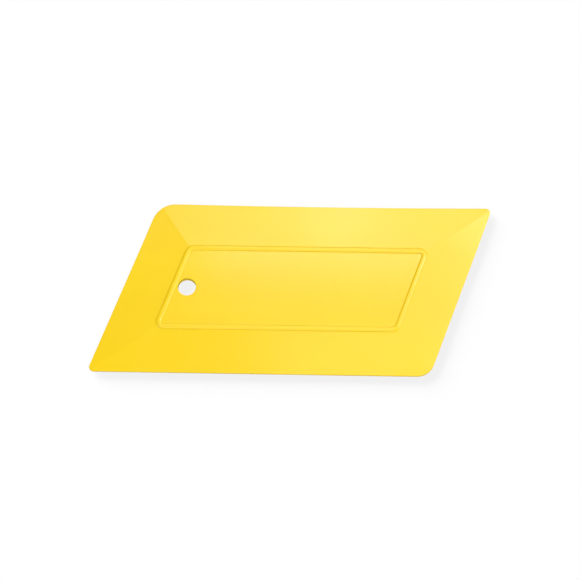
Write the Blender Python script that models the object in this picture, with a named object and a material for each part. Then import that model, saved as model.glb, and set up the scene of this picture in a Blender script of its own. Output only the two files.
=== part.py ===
"""Parallelogram squeegee card, moulded in one piece.

Metres, +Z up. The card lies on the rib of its back face: Z = 0 is the crest of that rib, and the
origin is the middle of the card's outline. +X runs along the long working edges. Both faces are
alike, so the blade's mid-plane is a plane of symmetry.
"""

import math

import bmesh
import bpy
from mathutils import Matrix, Vector

# Outline: a parallelogram, seen square on
LONG_SIDE = 0.150           # each long working edge, to the sharp corners
WIDTH = 0.0783              # between the two long working edges
LEAN = math.radians(20.0)   # how far the short edges lean over towards +X
OBTUSE_RADII = (0.0112, 0.0082)   # far left corner, near right corner
ACUTE_RADIUS = 0.0020       # the two pointed corners

# Thicknesses: the flanks thin down evenly from the panel to the working edges
EDGE_THICKNESS = 0.0010
PANEL_THICKNESS = 0.0032
FLANK_WIDTH = 0.0205        # from a working edge to where the panel starts, under the rib

# Rib around the panel, standing out of both faces
RIB_INSET = 0.0195          # from a working edge to the rib's outer foot
RIB_WIDTH = 0.0025          # between its two feet
RIB_HEIGHT = 0.0006         # above the panel
RIB_ROUNDING = 0.0005       # radius of its shoulders
RIB_OBTUSE_RADIUS = 0.0045  # outer foot, at the obtuse corners
RIB_ACUTE_RADIUS = 0.0036   # outer foot, at the pointed corners

# Hanging hole, on the long axis near the left end of the panel
HOLE_RADIUS = 0.0040
HOLE_CENTRE = Vector((-0.0468, 0.0))

# Fineness of the round stretches
CORNER_STEPS = 12
RIB_ROUNDING_STEPS = 2
HOLE_SIDES = 48
CUTTER_MARGIN = 0.002       # how far a cutter runs past the faces it cuts
WELD_DISTANCE = 1e-6
SHARP_ANGLE = math.radians(25.0)

OVERALL_THICKNESS = PANEL_THICKNESS + 2.0 * RIB_HEIGHT
MID_Z = OVERALL_THICKNESS / 2.0
YELLOW = (0.955, 0.630, 0.012, 1.0)


def clear_scene():
    for thing in list(bpy.data.objects):
        bpy.data.objects.remove(thing, do_unlink=True)


def new_collection(name):
    collection = bpy.data.collections.new(name)
    bpy.context.scene.collection.children.link(collection)
    return collection


def sharp_corners(inset=0.0):
    """The parallelogram's corners, drawn in by the same distance on every side."""
    half_width = WIDTH / 2.0 - inset
    half_side = LONG_SIDE / 2.0 - inset / math.cos(LEAN)
    shift = half_width * math.tan(LEAN)
    return [
        Vector((-half_side + shift, half_width)),    # far left, obtuse
        Vector((-half_side - shift, -half_width)),   # near left, pointed
        Vector((half_side - shift, -half_width)),    # near right, obtuse
        Vector((half_side + shift, half_width)),     # far right, pointed
    ]


def corner_arc(before, corner, after, radius):
    """Points along a round corner, from one side's tangent point to the other's."""
    to_before = (before - corner).normalized()
    to_after = (after - corner).normalized()
    half_angle = to_before.angle(to_after) / 2.0
    middle = (to_before + to_after).normalized()
    centre = corner + middle * radius / math.sin(half_angle)
    start = corner + to_before * radius / math.tan(half_angle) - centre
    sweep = math.pi - 2.0 * half_angle
    return [
        centre + Matrix.Rotation(sweep * step / CORNER_STEPS, 2) @ start
        for step in range(CORNER_STEPS + 1)
    ]


def rounded_outline(inset, radii):
    """The outline at an inset, with its four corners rounded."""
    corners = sharp_corners(inset)
    points = []
    for index, corner in enumerate(corners):
        after = corners[(index + 1) % len(corners)]
        points += corner_arc(corners[index - 1], corner, after, radii[index])
    return points


def slab_from_outlines(name, outlines, thickness, rounding, collection):
    """A level slab bounded by closed outlines, centred on the blade's mid-plane, as a mesh object."""
    curve = bpy.data.curves.new(name + "_outline", "CURVE")
    curve.dimensions = "2D"
    curve.fill_mode = "BOTH"
    curve.extrude = thickness / 2.0 - rounding
    curve.bevel_depth = rounding
    curve.bevel_resolution = RIB_ROUNDING_STEPS
    curve.offset = -rounding
    for outline in outlines:
        spline = curve.splines.new("POLY")
        spline.points.add(len(outline) - 1)
        for point, place in zip(spline.points, outline):
            point.co = (place.x, place.y, 0.0, 1.0)
        spline.use_cyclic_u = True
    guide = bpy.data.objects.new(name + "_outline", curve)
    guide.location.z = MID_Z
    collection.objects.link(guide)
    depsgraph = bpy.context.evaluated_depsgraph_get()
    mesh = bpy.data.meshes.new_from_object(guide.evaluated_get(depsgraph))
    shape = bmesh.new()
    shape.from_mesh(mesh)
    bmesh.ops.remove_doubles(shape, verts=shape.verts, dist=WELD_DISTANCE)
    bmesh.ops.recalc_face_normals(shape, faces=shape.faces)
    shape.to_mesh(mesh)
    shape.free()
    slab = bpy.data.objects.new(name, mesh)
    slab.matrix_world = guide.matrix_world.copy()
    slab.location.z = MID_Z
    collection.objects.link(slab)
    bpy.data.objects.remove(guide, do_unlink=True)
    return slab


def tapered_plate(name, collection):
    """Blade flanks and panel: a thin slab whose two faces are each inset and raised."""
    mesh = bpy.data.meshes.new(name)
    shape = bmesh.new()
    bmesh.ops.create_cube(shape, size=1.0)
    corners = sharp_corners()
    for vert in shape.verts:
        far = vert.co.y > 0.0
        right = vert.co.x > 0.0
        corner = corners[3 if right else 0] if far else corners[2 if right else 1]
        vert.co = Vector((corner.x, corner.y, math.copysign(EDGE_THICKNESS / 2.0, vert.co.z)))
    shape.normal_update()
    broad_faces = [face for face in shape.faces if abs(face.normal.z) > 0.9]
    for face in broad_faces:
        bmesh.ops.inset_region(
            shape,
            faces=[face],
            thickness=FLANK_WIDTH,
            depth=(PANEL_THICKNESS - EDGE_THICKNESS) / 2.0,
            use_even_offset=True,
        )
    bmesh.ops.recalc_face_normals(shape, faces=shape.faces)
    shape.to_mesh(mesh)
    shape.free()
    plate = bpy.data.objects.new(name, mesh)
    plate.location.z = MID_Z
    collection.objects.link(plate)
    return plate


def hole_cutter(collection):
    bpy.ops.mesh.primitive_cylinder_add(
        vertices=HOLE_SIDES,
        radius=HOLE_RADIUS,
        depth=OVERALL_THICKNESS + 2.0 * CUTTER_MARGIN,
        location=(HOLE_CENTRE.x, HOLE_CENTRE.y, MID_Z),
    )
    cutter = bpy.context.active_object
    cutter.name = "hang_hole_cutter"
    for owner in list(cutter.users_collection):
        owner.objects.unlink(cutter)
    collection.objects.link(cutter)
    return cutter


def mark_as_cutter(tool):
    tool.hide_render = True
    tool.display_type = "WIRE"


def combine(target, tool, operation):
    boolean = target.modifiers.new(tool.name, "BOOLEAN")
    boolean.operation = operation
    boolean.solver = "EXACT"
    boolean.object = tool


def moulded_plastic(name, colour):
    material = bpy.data.materials.new(name)
    material.use_nodes = True
    shader = material.node_tree.nodes["Principled BSDF"]
    shader.inputs["Base Color"].default_value = colour
    shader.inputs["Roughness"].default_value = 0.35
    shader.inputs["Metallic"].default_value = 0.0
    material.diffuse_color = colour
    return material


def build():
    clear_scene()
    parts = new_collection("squeegee_applicator")
    cutters = new_collection("squeegee_cutters")

    card = tapered_plate("squeegee_card", parts)

    corner_radii = (OBTUSE_RADII[0], ACUTE_RADIUS, OBTUSE_RADII[1], ACUTE_RADIUS)
    outline = rounded_outline(0.0, corner_radii)
    blank = slab_from_outlines(
        "rounded_blank", [outline], OVERALL_THICKNESS + 2.0 * CUTTER_MARGIN, 0.0, cutters
    )

    outer_radii = (RIB_OBTUSE_RADIUS, RIB_ACUTE_RADIUS) * 2
    inner_radii = [radius - RIB_WIDTH for radius in outer_radii]
    rib_outlines = [
        rounded_outline(RIB_INSET, outer_radii),
        rounded_outline(RIB_INSET + RIB_WIDTH, inner_radii),
    ]
    rib = slab_from_outlines("rib_ring", rib_outlines, OVERALL_THICKNESS, RIB_ROUNDING, cutters)

    hole = hole_cutter(cutters)

    for tool, operation in ((blank, "INTERSECT"), (rib, "UNION"), (hole, "DIFFERENCE")):
        mark_as_cutter(tool)
        combine(card, tool, operation)

    card.data.shade_smooth()
    card.data.set_sharp_from_angle(angle=SHARP_ANGLE)
    card.data.materials.append(moulded_plastic("yellow_moulded_plastic", YELLOW))


build()
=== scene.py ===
import math

import bmesh
import bpy
from mathutils import Matrix, Vector


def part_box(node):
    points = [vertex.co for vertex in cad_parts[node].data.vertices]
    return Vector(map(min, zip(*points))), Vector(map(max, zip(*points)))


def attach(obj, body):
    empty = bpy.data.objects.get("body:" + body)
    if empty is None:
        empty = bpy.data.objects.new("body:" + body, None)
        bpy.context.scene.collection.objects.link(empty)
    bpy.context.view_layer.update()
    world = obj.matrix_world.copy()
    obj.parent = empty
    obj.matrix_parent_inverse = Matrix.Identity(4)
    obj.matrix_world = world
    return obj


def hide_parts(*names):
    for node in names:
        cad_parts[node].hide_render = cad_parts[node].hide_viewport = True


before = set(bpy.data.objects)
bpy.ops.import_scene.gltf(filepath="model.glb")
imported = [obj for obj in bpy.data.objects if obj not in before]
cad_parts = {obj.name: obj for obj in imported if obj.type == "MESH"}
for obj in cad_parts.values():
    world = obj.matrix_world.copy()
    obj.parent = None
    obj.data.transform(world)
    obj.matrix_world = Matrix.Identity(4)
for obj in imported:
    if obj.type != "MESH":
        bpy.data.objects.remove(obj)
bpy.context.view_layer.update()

cardLow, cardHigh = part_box("squeegee_card")
midZ = (cardLow.z + cardHigh.z) / 2      # the blade's mid-plane, both faces are made alike about it
print("frame loaded, card", [round(side * 1000, 1) for side in cardHigh - cardLow], "mm")


def linearColour(hexValue):
    # sRGB hex to the linear values that shaders take
    channels = [int(hexValue[i:i + 2], 16) / 255 for i in (1, 3, 5)]
    return [c / 12.92 if c <= 0.04045 else ((c + 0.055) / 1.055) ** 2.4 for c in channels] + [1.0]


def addNode(tree, kind, links=None, **settings):
    # one node, with its settings, and its sockets linked to nodes or set to values
    node = tree.nodes.new(kind)
    for setting, value in settings.items():
        setattr(node, setting, value)
    for socket, value in (links or {}).items():
        target = node.inputs[socket]
        if isinstance(value, bpy.types.Node):
            value = value.outputs[0]
        if isinstance(value, bpy.types.NodeSocket):
            tree.links.new(value, target)
        else:
            target.default_value = value
    return node


plastic = {
    "body": "#FAD204",            # masterbatch yellow, as most of the card shows it
    "flow": "#FCD706",            # a touch paler where the melt swirled in
    "flowSize": 0.045,            # m, drift of the pigment
    "flowStretch": 0.4,           # under 1 draws the swirls out along the card
    "flowRange": (0.4, 0.7),      # part of the noise over which one shade turns into the other
    "roughness": (0.29, 0.36),    # satin tool finish, a little uneven
    "polishSize": 0.016,          # m, size of the uneven places
    "polishRange": (0.3, 0.7),
    "grainSize": 0.00035,         # m, tool grain, likely 0.03 mm in life, drawn coarser so that it shows
    "grainHeight": 0.000003,      # m
    "sinkSize": 0.014,            # m, soft waves left by uneven cooling
    "sinkHeight": 0.00002,        # m
    "scuffLength": 0.030,         # m, hairlines from being wiped and stacked
    "scuffWidth": 0.00025,        # m, likely 0.02 mm in life, drawn coarser so that they show
    "scuffTurn": math.radians(12),    # off the card's long side
    "scuffRange": (0.66, 0.76),   # only the top of the noise is a hairline
    "scuffRoughness": 0.08,
    "gloss": 0.40,                # the skin that chilled against the polished tool
    "glossRoughness": 0.12,
    "ior": 1.49,
}


def mouldedPolypropylene():
    # polypropylene, injection moulded in masterbatch yellow: saturated and slightly waxy, with a
    # wide satin highlight, a thin clearer one over it, and faces that are never quite level
    material = bpy.data.materials.new("mouldedPolypropylene")
    material.use_nodes = True
    tree = material.node_tree
    tree.nodes.clear()
    place = addNode(tree, "ShaderNodeTexCoord").outputs["Object"]

    along = addNode(tree, "ShaderNodeMapping", {
        "Vector": place, "Scale": (plastic["flowStretch"], 1.0, 1.0)})
    swirl = addNode(tree, "ShaderNodeTexNoise", {
        "Vector": along, "Scale": 1 / plastic["flowSize"], "Detail": 2.0, "Distortion": 0.6})
    flow = addNode(tree, "ShaderNodeMapRange", {
        "Value": swirl, "From Min": plastic["flowRange"][0], "From Max": plastic["flowRange"][1]})
    pigment = addNode(tree, "ShaderNodeMix", {
        0: flow, 6: linearColour(plastic["body"]), 7: linearColour(plastic["flow"])},
        data_type="RGBA").outputs[2]

    polish = addNode(tree, "ShaderNodeTexNoise", {
        "Vector": place, "Scale": 1 / plastic["polishSize"], "Detail": 3.0})
    satin = addNode(tree, "ShaderNodeMapRange", {
        "Value": polish, "From Min": plastic["polishRange"][0], "From Max": plastic["polishRange"][1],
        "To Min": plastic["roughness"][0], "To Max": plastic["roughness"][1]})
    hairs = addNode(tree, "ShaderNodeMapping", {
        "Vector": place, "Rotation": (0.0, 0.0, plastic["scuffTurn"]),
        "Scale": (1 / plastic["scuffLength"], 1 / plastic["scuffWidth"], 1.0)})
    hairNoise = addNode(tree, "ShaderNodeTexNoise", {"Vector": hairs, "Scale": 1.0, "Detail": 1.0})
    scuffs = addNode(tree, "ShaderNodeMapRange", {
        "Value": hairNoise, "From Min": plastic["scuffRange"][0], "From Max": plastic["scuffRange"][1],
        "To Max": plastic["scuffRoughness"]})
    roughness = addNode(tree, "ShaderNodeMath", {0: satin, 1: scuffs}, operation="ADD")

    sink = addNode(tree, "ShaderNodeTexNoise", {
        "Vector": place, "Scale": 1 / plastic["sinkSize"], "Detail": 0.0})
    waves = addNode(tree, "ShaderNodeBump", {"Height": sink, "Distance": plastic["sinkHeight"]})
    grain = addNode(tree, "ShaderNodeTexNoise", {
        "Vector": place, "Scale": 1 / plastic["grainSize"], "Detail": 1.0})
    surface = addNode(tree, "ShaderNodeBump", {
        "Height": grain, "Distance": plastic["grainHeight"], "Normal": waves})

    shader = addNode(tree, "ShaderNodeBsdfPrincipled", {
        "Base Color": pigment, "Roughness": roughness, "Normal": surface, "Metallic": 0.0,
        "IOR": plastic["ior"], "Coat Weight": plastic["gloss"],
        "Coat Roughness": plastic["glossRoughness"]})
    addNode(tree, "ShaderNodeOutputMaterial", {"Surface": shader})
    print("plastic mixed:", plastic["body"], "to", plastic["flow"])
    return material


card = {
    "longSide": 0.150,              # m, each long working edge to its sharp corners
    "width": 0.0783,
    "lean": math.radians(20),       # of the short edges, towards +X
    "pointedRadius": 0.0020,
    "farLeftRadius": 0.0112,
    "nearRightRadius": 0.0082,
    "edgeThickness": 0.0010,
    "edgeRounding": 0.00018,
    "panelThickness": 0.0032,
    "flankWidth": 0.0205,           # edge to panel, ending under the rib
    "ribInset": 0.0195,             # edge to the rib's outer foot
    "ribWidth": 0.0025,
    "ribHeight": 0.0006,
    "ribFullness": 3.0,             # 2 is an ellipse's crest, more is flatter
    "ribSteepness": 1.5,            # 1 is gentle at the feet, 2 upright
    "ribEasing": 0.00004,           # softness of the rib's two feet
    "ribPointedRadius": 0.0036,
    "ribObtuseRadius": 0.0045,
    "rimMargin": 0.00014,           # room for the rib's feet to die out
    "ribSupport": 0.00005,          # flat strip kept on both sides of the rib
    "lipSupport": 0.0001,           # flat strip kept beside every rounded lip
    "farEdgeHollow": 0.00052,       # the far edge is drawn in at its middle
    "farEdgeLevel": 0.20,           # share of the hollow that lies inside the straight line
    "holeX": -0.0468,
    "holeRadius": 0.0040,
    "arcSteps": 16,
    "sideSteps": 24,
    "holeSides": 96,
    "roundingSteps": 5,
    "flankRows": 9,
    "ribRows": 48,
    "weldDistance": 0.000001,
}


def bladeSection():
    # (distance in from the edge, lift off the plain taper), from the edge's mid-plane to the panel
    rounding, steps = card["edgeRounding"], card["roundingSteps"]
    section = [(0.0, 0.0)]
    for step in range(steps + 1):
        turn = math.pi / 2 * step / steps
        section.append((rounding * (1 - math.cos(turn)), -rounding * (1 - math.sin(turn))))
    flankStart = rounding + card["lipSupport"]      # keeps the rounding out of the flank's shading
    section.append((flankStart, 0.0))
    lipRows = len(section)
    flankEnd = card["ribInset"] - card["rimMargin"] - card["ribSupport"]
    for row in range(1, card["flankRows"] + 1):
        section.append((flankStart + (flankEnd - flankStart) * row / card["flankRows"], 0.0))
    section.append((card["ribInset"] - card["rimMargin"], 0.0))

    # the rib is a low round bead, a little fuller than a circle, eased into the flat at both feet
    half, high, easing = card["ribWidth"] / 2, card["ribHeight"], card["ribEasing"]
    span = card["ribWidth"] + 2 * card["rimMargin"]
    for row in range(1, card["ribRows"]):
        x = span * row / card["ribRows"] - card["rimMargin"]
        share = 1 - (abs(x - half) / half) ** card["ribFullness"]
        bead = math.copysign(high * abs(share) ** (1 / card["ribSteepness"]), share)
        rise = (bead + math.sqrt(bead * bead + easing * easing)) / 2
        section.append((card["ribInset"] + x, rise))
    section.append((card["ribInset"] + card["ribWidth"] + card["rimMargin"], 0.0))
    section.append((section[-1][0] + card["ribSupport"], 0.0))
    return section, lipRows


def loopSizes(name, inset, radii):
    # a parallelogram drawn in by the same distance on all sides
    height = card["width"] - 2 * inset
    length = card["longSide"] - 2 * inset / math.cos(card["lean"])
    return {
        name + " Length": length, name + " Height": height,
        name + " Slant": height * math.tan(card["lean"]),
        name + " Pointed Radius": radii[0], name + " Far Left Radius": radii[1],
        name + " Near Right Radius": radii[2]}


def cardTree(sizes, material):
    tree = bpy.data.node_groups.new("bladeSweep", "GeometryNodeTree")
    tree.is_modifier = True
    face = tree.interface
    face.new_socket("Geometry", in_out="OUTPUT", socket_type="NodeSocketGeometry")
    face.new_socket("Section", in_out="INPUT", socket_type="NodeSocketGeometry")
    identifiers = {}
    for name, value in sizes.items():
        kind = "NodeSocketInt" if isinstance(value, int) else "NodeSocketFloat"
        identifiers[name] = face.new_socket(name, in_out="INPUT", socket_type=kind).identifier
    identifiers["Plastic"] = face.new_socket(
        "Plastic", in_out="INPUT", socket_type="NodeSocketMaterial").identifier
    given = addNode(tree, "NodeGroupInput").outputs
    index = addNode(tree, "GeometryNodeInputIndex")
    position = addNode(tree, "GeometryNodeInputPosition")

    # three round-cornered loops with the same count of points: outline, rib foot, panel rim
    stepsPerCorner = addNode(tree, "FunctionNodeIntegerMath", {
        0: given["Arc Steps"], 1: 1}, operation="ADD")
    placeInCorner = addNode(tree, "FunctionNodeIntegerMath", {
        0: index, 1: stepsPerCorner}, operation="MODULO")
    onSide = addNode(tree, "FunctionNodeCompare", {
        2: placeInCorner, 3: given["Arc Steps"]}, data_type="INT", operation="EQUAL")
    sideCuts = addNode(tree, "FunctionNodeIntegerMath", {
        0: given["Side Steps"], 1: onSide}, operation="MULTIPLY")
    loops = {}
    for name in ("Outline", "Rib", "Rim"):
        shape = addNode(tree, "GeometryNodeCurvePrimitiveQuadrilateral", {
            "Width": given[name + " Length"], "Height": given[name + " Height"],
            "Offset": given[name + " Slant"]}, mode="PARALLELOGRAM")
        radius = addNode(tree, "GeometryNodeIndexSwitch", data_type="FLOAT")
        radius.index_switch_items.new()
        radius.index_switch_items.new()
        corners = (" Pointed Radius", " Far Left Radius", " Pointed Radius", " Near Right Radius")
        tree.links.new(index.outputs[0], radius.inputs[0])
        for corner, ending in enumerate(corners):   # from the far right corner, anticlockwise
            tree.links.new(given[name + ending], radius.inputs[corner + 1])
        rounded = addNode(tree, "GeometryNodeFilletCurve", {
            "Curve": shape, "Count": given["Arc Steps"], "Radius": radius}, mode="POLY")
        loops[name] = addNode(tree, "GeometryNodeSubdivideCurve", {
            "Curve": rounded, "Cuts": sideCuts})

    # a grid of one row for each section point and one column for each loop point
    around = addNode(tree, "GeometryNodeAttributeDomainSize", {
        "Geometry": loops["Outline"]}, component="CURVE").outputs["Point Count"]
    rows = addNode(tree, "GeometryNodeAttributeDomainSize", {
        "Geometry": given["Section"]}).outputs["Point Count"]
    columns = addNode(tree, "FunctionNodeIntegerMath", {0: around, 1: 1}, operation="ADD")
    skirtGrid = addNode(tree, "GeometryNodeMeshGrid", {"Vertices X": rows, "Vertices Y": columns})
    row = addNode(tree, "FunctionNodeIntegerMath", {0: index, 1: columns}, operation="DIVIDE_FLOOR")
    column = addNode(tree, "FunctionNodeIntegerMath", {0: index, 1: columns}, operation="MODULO")
    loopPoint = addNode(tree, "FunctionNodeIntegerMath", {
        0: column, 1: around}, operation="MODULO")
    sectionPoint = addNode(tree, "GeometryNodeSampleIndex", {
        "Geometry": given["Section"], "Value": position, "Index": row}, data_type="FLOAT_VECTOR")
    station = addNode(tree, "ShaderNodeSeparateXYZ", {"Vector": sectionPoint}).outputs
    flankShare = addNode(tree, "ShaderNodeMapRange", {
        "Value": station["X"], "From Min": 0.0, "From Max": given["Rib Inset"]})
    ribShare = addNode(tree, "ShaderNodeMapRange", {
        "Value": station["X"], "From Min": given["Rib Inset"], "From Max": given["Rim Inset"]})
    samples = {name: addNode(tree, "GeometryNodeSampleIndex", {
        "Geometry": loop, "Value": position, "Index": loopPoint}, data_type="FLOAT_VECTOR")
        for name, loop in loops.items()}
    onFlank = addNode(tree, "ShaderNodeMix", {
        0: flankShare, 4: samples["Outline"], 5: samples["Rib"]}, data_type="VECTOR")
    onCard = addNode(tree, "ShaderNodeMix", {
        0: ribShare, 4: onFlank.outputs[1], 5: samples["Rim"]}, data_type="VECTOR")
    skirt = addNode(tree, "GeometryNodeSetPosition", {
        "Geometry": skirtGrid, "Position": onCard.outputs[1]})

    # height: four flat flanks rise from the edges and meet in crisp mitres, then the lift
    spot = addNode(tree, "ShaderNodeSeparateXYZ", {"Vector": position}).outputs
    leanShift = addNode(tree, "ShaderNodeMath", {
        0: spot["Y"], 1: given["Lean Tangent"]}, operation="MULTIPLY")
    alongSide = addNode(tree, "ShaderNodeMath", {0: spot["X"], 1: leanShift}, operation="SUBTRACT")
    alongSize = addNode(tree, "ShaderNodeMath", {0: alongSide}, operation="ABSOLUTE")
    endGap = addNode(tree, "ShaderNodeMath", {
        0: given["Half Side"], 1: alongSize}, operation="SUBTRACT")
    endDistance = addNode(tree, "ShaderNodeMath", {
        0: endGap, 1: given["Lean Cosine"]}, operation="MULTIPLY")
    acrossSize = addNode(tree, "ShaderNodeMath", {0: spot["Y"]}, operation="ABSOLUTE")
    sideDistance = addNode(tree, "ShaderNodeMath", {
        0: given["Half Width"], 1: acrossSize}, operation="SUBTRACT")
    nearest = addNode(tree, "ShaderNodeMath", {
        0: endDistance, 1: sideDistance}, operation="MINIMUM")
    taper = addNode(tree, "ShaderNodeMapRange", {
        "Value": nearest, "From Min": 0.0, "From Max": given["Flank Width"],
        "To Min": given["Edge Half"], "To Max": given["Panel Half"]})
    lifted = addNode(tree, "ShaderNodeMath", {0: taper, 1: station["Z"]}, operation="ADD")
    offMiddle = addNode(tree, "ShaderNodeMath", {0: row, 1: 1.0}, operation="MINIMUM")
    height = addNode(tree, "ShaderNodeMath", {0: lifted, 1: offMiddle}, operation="MULTIPLY")

    # the far edge's hollow fades out towards the rib
    alongShare = addNode(tree, "ShaderNodeMath", {
        0: alongSide, 1: given["Half Side"]}, operation="DIVIDE")
    alongSquare = addNode(tree, "ShaderNodeMath", {
        0: alongShare, 1: alongShare}, operation="MULTIPLY")
    bow = addNode(tree, "ShaderNodeMath", {
        0: given["Far Edge Level"], 1: alongSquare}, operation="SUBTRACT")
    farShare = addNode(tree, "ShaderNodeMapRange", {
        "Value": spot["Y"], "From Min": given["Rib Half Height"], "From Max": given["Half Width"],
        "To Max": given["Far Edge Hollow"]})
    drawn = addNode(tree, "ShaderNodeMath", {0: bow, 1: farShare}, operation="MULTIPLY")
    newY = addNode(tree, "ShaderNodeMath", {0: spot["Y"], 1: drawn}, operation="SUBTRACT")
    skirtPlace = addNode(tree, "ShaderNodeCombineXYZ", {
        "X": spot["X"], "Y": newY, "Z": height})
    skirt = addNode(tree, "GeometryNodeSetPosition", {"Geometry": skirt, "Position": skirtPlace})

    # the hole's wall and its rounded lip follow the section's first rows
    holeColumns = addNode(tree, "FunctionNodeIntegerMath", {
        0: given["Hole Sides"], 1: 1}, operation="ADD")
    holeGrid = addNode(tree, "GeometryNodeMeshGrid", {
        "Vertices X": given["Lip Rows"], "Vertices Y": holeColumns})
    holeRow = addNode(tree, "FunctionNodeIntegerMath", {
        0: index, 1: holeColumns}, operation="DIVIDE_FLOOR")
    holeColumn = addNode(tree, "FunctionNodeIntegerMath", {
        0: index, 1: holeColumns}, operation="MODULO")
    lipPoint = addNode(tree, "GeometryNodeSampleIndex", {
        "Geometry": given["Section"], "Value": position, "Index": holeRow},
        data_type="FLOAT_VECTOR")
    lip = addNode(tree, "ShaderNodeSeparateXYZ", {"Vector": lipPoint}).outputs
    lipRadius = addNode(tree, "ShaderNodeMath", {
        0: lip["X"], 1: given["Hole Radius"]}, operation="ADD")
    holeTurn = addNode(tree, "ShaderNodeMath", {
        0: holeColumn, 1: given["Hole Sides"]}, operation="DIVIDE")
    holeAngle = addNode(tree, "ShaderNodeMath", {
        0: holeTurn, 1: math.tau}, operation="MULTIPLY")
    lipHeight = addNode(tree, "ShaderNodeMath", {
        0: lip["Z"], 1: given["Panel Half"]}, operation="ADD")
    offHoleMiddle = addNode(tree, "ShaderNodeMath", {0: holeRow, 1: 1.0}, operation="MINIMUM")
    wallHeight = addNode(tree, "ShaderNodeMath", {
        0: lipHeight, 1: offHoleMiddle}, operation="MULTIPLY")
    ring = addNode(tree, "ShaderNodeCombineXYZ", {"X": lipRadius, "Z": wallHeight})
    turned = addNode(tree, "ShaderNodeVectorRotate", {
        "Vector": ring, "Angle": holeAngle}, rotation_type="Z_AXIS")
    holeCentre = addNode(tree, "ShaderNodeCombineXYZ", {"X": given["Hole X"]})
    wallPlace = addNode(tree, "ShaderNodeVectorMath", {0: turned, 1: holeCentre}, operation="ADD")
    wall = addNode(tree, "GeometryNodeSetPosition", {"Geometry": holeGrid, "Position": wallPlace})

    # the panel fills the space between its rim and the hole's lip
    lipWidth = addNode(tree, "ShaderNodeMath", {
        0: given["Hole Radius"], 1: given["Lip Width"]}, operation="ADD")
    lipCircle = addNode(tree, "GeometryNodeCurvePrimitiveCircle", {
        "Resolution": given["Hole Sides"], "Radius": lipWidth})
    lipPlaced = addNode(tree, "GeometryNodeTransform", {
        "Geometry": lipCircle, "Translation": holeCentre})
    panelLoops = addNode(tree, "GeometryNodeJoinGeometry", {"Geometry": loops["Rim"]})
    tree.links.new(lipPlaced.outputs[0], panelLoops.inputs[0])
    panelFlat = addNode(tree, "GeometryNodeFillCurve", {"Curve": panelLoops}, mode="TRIANGLES")
    panelUp = addNode(tree, "ShaderNodeCombineXYZ", {"Z": given["Panel Half"]})
    panel = addNode(tree, "GeometryNodeTransform", {
        "Geometry": panelFlat, "Translation": panelUp})

    # front face, then the same face mirrored for the back
    front = addNode(tree, "GeometryNodeJoinGeometry", {"Geometry": panel})
    tree.links.new(skirt.outputs[0], front.inputs[0])
    tree.links.new(wall.outputs[0], front.inputs[0])
    back = addNode(tree, "GeometryNodeTransform", {"Geometry": front, "Scale": (1.0, 1.0, -1.0)})
    both = addNode(tree, "GeometryNodeJoinGeometry", {"Geometry": front})
    tree.links.new(back.outputs[0], both.inputs[0])
    closed = addNode(tree, "GeometryNodeMergeByDistance", {
        "Geometry": both, "Distance": card["weldDistance"]})
    lift = addNode(tree, "ShaderNodeCombineXYZ", {"Z": given["Mid Height"]})
    placed = addNode(tree, "GeometryNodeTransform", {"Geometry": closed, "Translation": lift})
    smooth = addNode(tree, "GeometryNodeSetShadeSmooth", {"Geometry": placed})
    real = addNode(tree, "GeometryNodeRealizeInstances", {"Geometry": smooth})
    coloured = addNode(tree, "GeometryNodeSetMaterial", {
        "Geometry": real, "Material": given["Plastic"]})
    addNode(tree, "NodeGroupOutput", {0: coloured})
    return tree, identifiers


def makeCard(material):
    section, lipRows = bladeSection()
    line = bpy.data.meshes.new("bladeSection")
    line.from_pydata([(inset, 0.0, lift) for inset, lift in section], [], [])
    guide = bpy.data.objects.new("bladeSection", line)
    bpy.context.scene.collection.objects.link(guide)

    rimInset = section[-1][0]
    outlineRadii = (card["pointedRadius"], card["farLeftRadius"], card["nearRightRadius"])
    ribRadii = (card["ribPointedRadius"], card["ribObtuseRadius"], card["ribObtuseRadius"])
    rimRadii = [radius - (rimInset - card["ribInset"]) for radius in ribRadii]
    sizes = {
        **loopSizes("Outline", 0.0, outlineRadii),
        **loopSizes("Rib", card["ribInset"], ribRadii),
        **loopSizes("Rim", rimInset, rimRadii),
        "Rib Inset": card["ribInset"], "Rim Inset": rimInset,
        "Half Side": card["longSide"] / 2, "Half Width": card["width"] / 2,
        "Lean Tangent": math.tan(card["lean"]), "Lean Cosine": math.cos(card["lean"]),
        "Flank Width": card["flankWidth"], "Edge Half": card["edgeThickness"] / 2,
        "Panel Half": card["panelThickness"] / 2,
        "Far Edge Hollow": card["farEdgeHollow"], "Far Edge Level": card["farEdgeLevel"],
        "Rib Half Height": card["width"] / 2 - card["ribInset"],
        "Hole X": card["holeX"], "Hole Radius": card["holeRadius"],
        "Lip Width": card["edgeRounding"] + card["lipSupport"], "Mid Height": midZ,
        "Arc Steps": card["arcSteps"], "Side Steps": card["sideSteps"],
        "Hole Sides": card["holeSides"], "Lip Rows": lipRows}
    tree, identifiers = cardTree(sizes, material)
    sweep = guide.modifiers.new("bladeSweep", "NODES")
    sweep.node_group = tree
    for name, value in sizes.items():
        sweep[identifiers[name]] = value
    sweep[identifiers["Plastic"]] = material

    depsgraph = bpy.context.evaluated_depsgraph_get()
    mesh = bpy.data.meshes.new_from_object(guide.evaluated_get(depsgraph))
    bpy.data.objects.remove(guide)
    shape = bmesh.new()
    shape.from_mesh(mesh)
    bmesh.ops.recalc_face_normals(shape, faces=shape.faces)
    openEdges = sum(not edge.is_manifold for edge in shape.edges)
    print("card swept:", len(shape.faces), "faces,", openEdges, "open edges,",
          round(shape.calc_volume(signed=True) * 1e6, 2), "cm3")
    shape.to_mesh(mesh)
    shape.free()
    piece = bpy.data.objects.new("squeegeeCard", mesh)
    bpy.context.scene.collection.objects.link(piece)
    return piece


cardPiece = makeCard(mouldedPolypropylene())
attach(cardPiece, "root")
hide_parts("squeegee_card")


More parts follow.
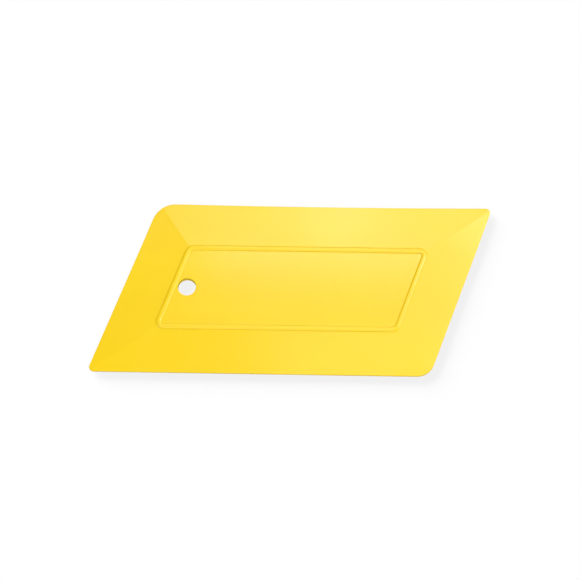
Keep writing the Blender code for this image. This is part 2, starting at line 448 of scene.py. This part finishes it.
table = {
    "colour": "#F2F2F2",      # matt white laminate
    "roughness": 0.9,
    "radius": 6.0,            # m
    "segments": 96,
    "drop": 0.00005,          # m, below the card's lowest point
    "lit": 2.69,              # W/m2, even light that throws no shadow of the card
    "litFrom": (0, 0, 2),
    "shadowLit": 1.28,        # W/m2, the low light that throws the soft one
    "shadowFrom": (-0.64, 0.64, 0.36),
    "shadowSpread": math.radians(38),
}


def makeTable():
    mesh = bpy.data.meshes.new("tableTop")
    shape = bmesh.new()
    bmesh.ops.create_circle(shape, cap_ends=True, segments=table["segments"], radius=table["radius"])
    bmesh.ops.translate(shape, verts=shape.verts, vec=(0, 0, cardLow.z - table["drop"]))
    shape.to_mesh(mesh)
    shape.free()
    top = bpy.data.objects.new("tableTop", mesh)
    bpy.context.scene.collection.objects.link(top)
    material = bpy.data.materials.new("mattLaminate")   # melamine, pressed matt: no highlight at all
    material.use_nodes = True
    shader = material.node_tree.nodes["Principled BSDF"]
    shader.inputs["Base Color"].default_value = linearColour(table["colour"])
    shader.inputs["Roughness"].default_value = table["roughness"]
    shader.inputs["Specular IOR Level"].default_value = 0.0
    mesh.materials.append(material)
    print("table laid,", table["radius"] * 2, "m across")
    return top


camera = {
    "aim": (-0.0010, -0.0003, midZ),       # m, a little left of the card's middle
    "distance": 0.7459,                    # m
    "offVertical": math.radians(18.0),
    "swing": math.radians(3.07),           # round to the right of the near edge
    "roll": math.radians(-2.05),
    "lens": 104.21,                        # mm
    "sensor": 36.0,                        # mm
}


def makeCamera():
    data = bpy.data.cameras.new("tableCamera")
    data.lens = camera["lens"]
    data.sensor_width = camera["sensor"]
    eye = bpy.data.objects.new("tableCamera", data)
    bpy.context.scene.collection.objects.link(eye)
    turn = (Matrix.Rotation(camera["swing"], 4, "Z")
            @ Matrix.Rotation(camera["offVertical"], 4, "X")
            @ Matrix.Rotation(camera["roll"], 4, "Z"))
    eye.matrix_world = (Matrix.Translation(camera["aim"]) @ turn
                        @ Matrix.Translation((0, 0, camera["distance"])))
    bpy.context.scene.camera = eye
    print("camera set,", camera["distance"], "m from the card")


softboxes = {
    # place and size in m, power in W; all of them face the card's middle
    "keySoftbox": ((0.97, -0.03, 0.68), (0.60, 0.90), 5.90),
    "leftFill": ((-0.78, -0.42, 0.81), (0.60, 0.60), 2.30),
    "highLeftFill": ((-0.62, -0.30, 0.98), (0.50, 0.50), 1.50),
    "leftSoftbox": ((-0.36, 0.48, 1.04), (0.20, 0.10), 0.08),
    "frontFill": ((0.00, -0.54, 1.07), (0.60, 0.60), 3.50),
    "farFill": ((0.00, 1.02, 0.63), (0.60, 0.60), 1.30),
    "farSoftbox": ((0.03, 0.58, 1.05), (0.40, 0.23), 0.84),
    "farStrip": ((0.037, 0.60, 1.04), (0.073, 0.15), 0.15),
    "panelStrip": ((0.02, 0.422, 1.12), (0.28, 0.060), 0.40),
    "nearSoftbox": ((0.06, 0.18, 1.18), (0.22, 0.20), 0.27),
    "rightSoftbox": ((0.35, 0.30, 1.11), (0.30, 0.43), 0.26),
    "rightStrip": ((0.54, 0.30, 1.03), (0.24, 0.24), 2.75),
    "tipStrip": ((0.37, 0.46, 1.05), (0.17, 0.21), 0.66),
}
room = {
    "horizon": 0.85,          # strength of the light low in the room
    "overhead": 0.10,
    "horizonTop": 0.05,       # how far up the low light reaches, 1 is straight up
    "overheadFrom": 0.45,
    "darkBelow": -0.05,       # nothing under the table is lit, so a view from below is black
}


def collectionOf(name, things):
    group = bpy.data.collections.new(name)
    for thing in things:
        group.objects.link(thing)
    return group


def hangLamp(name, kind, place, power, onto, shadowsOf):
    # lamps stand square to the table's long side, and light only what they are hung for
    data = bpy.data.lights.new(name, kind)
    data.energy = power
    lamp = bpy.data.objects.new(name, data)
    bpy.context.scene.collection.objects.link(lamp)
    back = Vector(place).normalized()
    side = (Vector((1, 0, 0)) - back * back.x).normalized()
    turn = Matrix((side, back.cross(side), back)).transposed()
    lamp.matrix_world = Matrix.Translation(place) @ turn.to_4x4()
    lamp.light_linking.receiver_collection = onto
    lamp.light_linking.blocker_collection = shadowsOf
    return data


def lightStudio(cardPiece, tableTop):
    onCard = collectionOf("cardLit", [cardPiece])
    onTable = collectionOf("tableLit", [tableTop])
    for name, (place, size, power) in softboxes.items():
        data = hangLamp(name, "AREA", place, power, onCard, onCard)
        data.shape = "RECTANGLE"
        data.size, data.size_y = size
    hangLamp("tableWash", "SUN", table["litFrom"], table["lit"], onTable, onTable)
    low = hangLamp("shadowLamp", "SUN", table["shadowFrom"], table["shadowLit"], onTable, onCard)
    low.angle = table["shadowSpread"]
    cardPiece.visible_diffuse = False     # no yellow glow bounced onto the table and in the hole
    tableTop.visible_glossy = False       # no white sheen in the rib's creases

    world = bpy.data.worlds.new("studioRoom")
    bpy.context.scene.world = world
    world.use_nodes = True
    world.cycles_visibility.glossy = False
    tree = world.node_tree
    tree.nodes.clear()
    direction = addNode(tree, "ShaderNodeTexCoord").outputs["Generated"]
    up = addNode(tree, "ShaderNodeSeparateXYZ", {"Vector": direction}).outputs["Z"]
    level = addNode(tree, "ShaderNodeMapRange", {
        "Value": up, "From Min": room["horizonTop"], "From Max": room["overheadFrom"],
        "To Min": room["horizon"], "To Max": room["overhead"]})
    aboveTable = addNode(tree, "ShaderNodeMath", {
        0: up, 1: room["darkBelow"]}, operation="GREATER_THAN")
    strength = addNode(tree, "ShaderNodeMath", {0: level, 1: aboveTable}, operation="MULTIPLY")
    light = addNode(tree, "ShaderNodeBackground", {"Strength": strength})
    addNode(tree, "ShaderNodeOutputWorld", {"Surface": light})
    bpy.context.scene.view_settings.view_transform = "Standard"
    print("studio lit:", len(softboxes), "softboxes, a table wash and a shadow lamp")


makeCamera()
lightStudio(cardPiece, makeTable())
